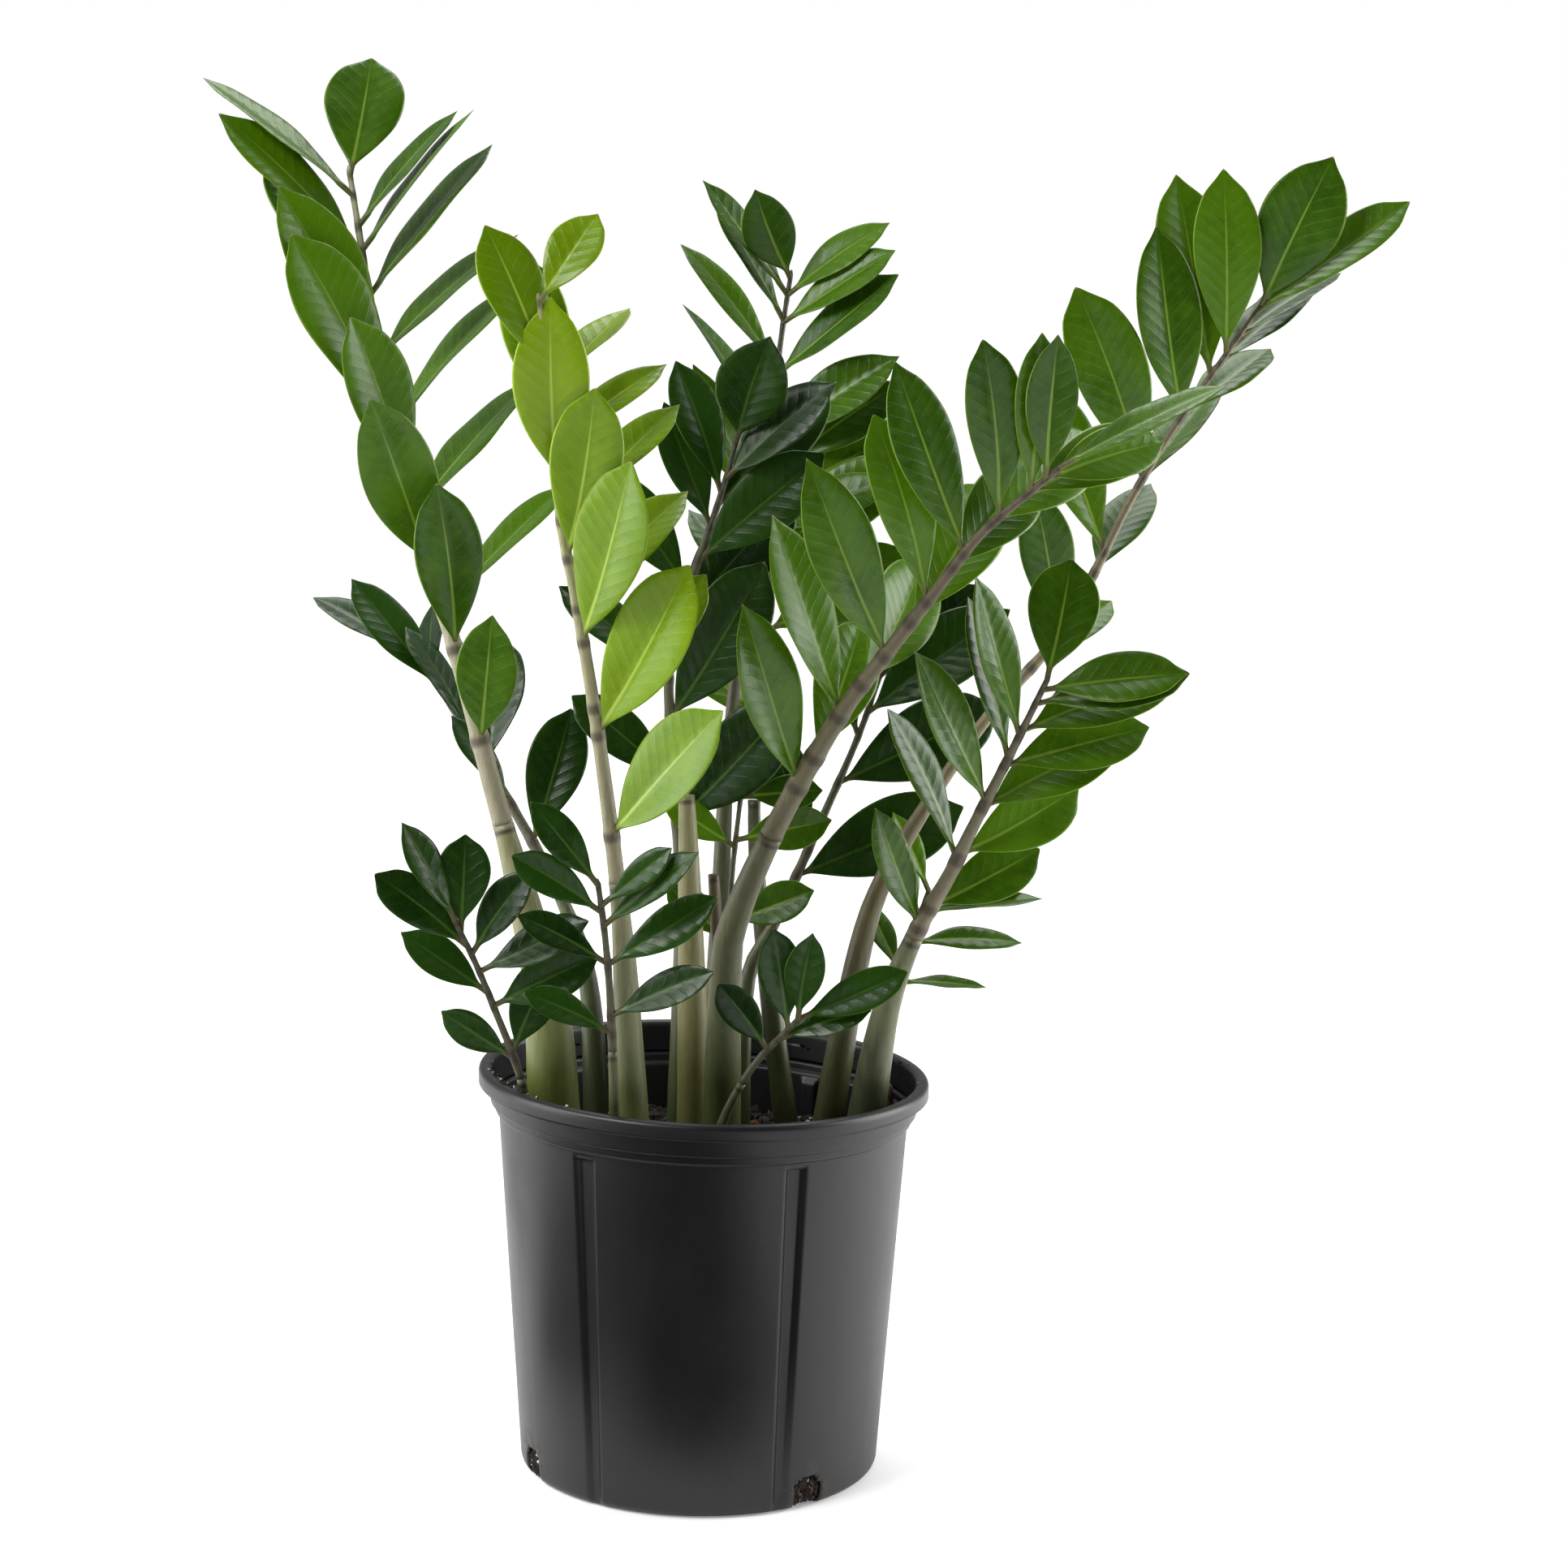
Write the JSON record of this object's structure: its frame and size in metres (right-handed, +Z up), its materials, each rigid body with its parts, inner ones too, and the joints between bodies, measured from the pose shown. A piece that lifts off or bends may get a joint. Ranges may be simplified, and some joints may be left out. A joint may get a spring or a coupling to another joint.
{
  "type": "potted zz plant",
  "caption": "ZZ plant in a dark grey plastic nursery pot: upright and arching fronds of glossy green leaflets on thick pale stalks that stand in dark potting soil.",
  "frame": {"origin": "middle of the flat underside of the pot, on the surface it stands on", "axes": "+X right as seen from the front, +Y to the back, +Z up; the front is -Y"},
  "size_m": [0.6822, 0.3365, 0.7888],
  "materials": {
    "pot_plastic": "satin",
    "potting_soil": "matte",
    "leaf_green": "satin",
    "leaf_dark": "gloss",
    "leaf_young": "satin",
    "stalk_green": "satin",
    "stub_brown": "matte",
    "tuber_bark": "matte"
  },
  "bodies": {
    "root": {"pot": "pot_plastic", "soil": "potting_soil", "tuber": "tuber_bark", "stalk_left_tall": "stalk_green", "stalk_left_back": "stalk_green", "stalk_left_bright": "stalk_green", "stalk_back_tall": "stalk_green", "stalk_centre_dark": "stalk_green", "stalk_back_middle": "stalk_green", "stalk_back_right": "stalk_green", "stalk_front_right": "stalk_green", "stalk_right_broad": "stalk_green", "stalk_right_tall": "stalk_green", "stalk_right_low": "stalk_green", "stalk_young_left": "stalk_green", "stalk_young_centre": "stalk_green", "stalk_young_front": "stalk_green", "stalk_young_back": "stalk_green", "stub_green": "stalk_green", "stub_brown": "stub_brown", "blade_left_tall": "leaf_green", "blade_left_back": "leaf_dark", "blade_left_bright": "leaf_young", "blade_back_tall": "leaf_green", "blade_centre_dark": "leaf_dark", "blade_back_middle": "leaf_dark", "blade_back_right": "leaf_green", "blade_front_right": "leaf_green", "blade_right_broad": "leaf_green", "blade_right_tall": "leaf_green", "blade_right_low": "leaf_green", "blade_young_left": "leaf_dark", "blade_young_centre": "leaf_dark", "blade_young_front": "leaf_dark", "blade_young_back": "leaf_green"}
  },
  "joints": []
}
